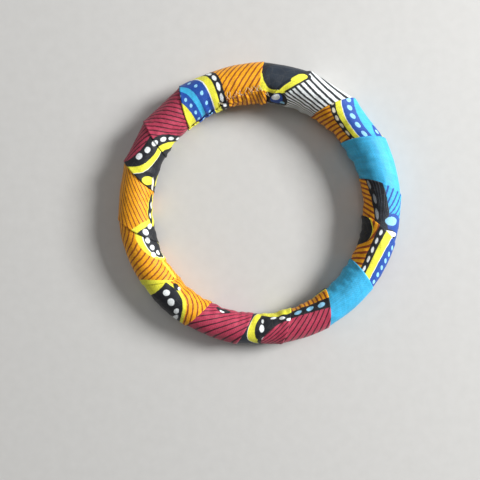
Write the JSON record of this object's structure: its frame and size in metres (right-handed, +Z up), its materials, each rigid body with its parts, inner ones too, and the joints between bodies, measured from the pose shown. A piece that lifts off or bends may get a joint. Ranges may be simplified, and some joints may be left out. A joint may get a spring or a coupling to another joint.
{
  "type": "bangle bracelet",
  "caption": "Rigid closed round bangle: a hose ring wound with one overlapping strip of bright wax-print cotton, its end glued down inside.",
  "frame": {"origin": "on the surface the bangle lies on, at the middle of its outline", "axes": "+Z up through the hand hole; +Y towards the thickest stretch, where the strip's end is glued down; +X to the right of it"},
  "size_m": [0.0868, 0.0868, 0.0118],
  "materials": {
    "clear_hose": "milky flexible plastic hose, satin",
    "wood_dowel": "raw birch dowel, steamed to the ring's curve",
    "paper_tape": "crepe masking tape",
    "wax_print_cotton": "plain-weave wax-print cotton, multicoloured, slightly waxed"
  },
  "bodies": {
    "root": {"core_tube": "clear_hose", "joint_plug": "wood_dowel", "joint_tape": "paper_tape", "cloth_turn_01": "wax_print_cotton", "cloth_turn_02": "wax_print_cotton", "cloth_turn_03": "wax_print_cotton", "cloth_turn_04": "wax_print_cotton", "cloth_turn_05": "wax_print_cotton", "cloth_turn_06": "wax_print_cotton", "cloth_turn_07": "wax_print_cotton", "cloth_turn_08": "wax_print_cotton", "cloth_turn_09": "wax_print_cotton", "cloth_turn_10": "wax_print_cotton", "cloth_turn_11": "wax_print_cotton", "cloth_turn_12": "wax_print_cotton", "cloth_turn_13": "wax_print_cotton", "cloth_turn_14": "wax_print_cotton", "cloth_turn_15": "wax_print_cotton", "cloth_turn_16": "wax_print_cotton", "cloth_end_flap": "wax_print_cotton"}
  },
  "joints": []
}
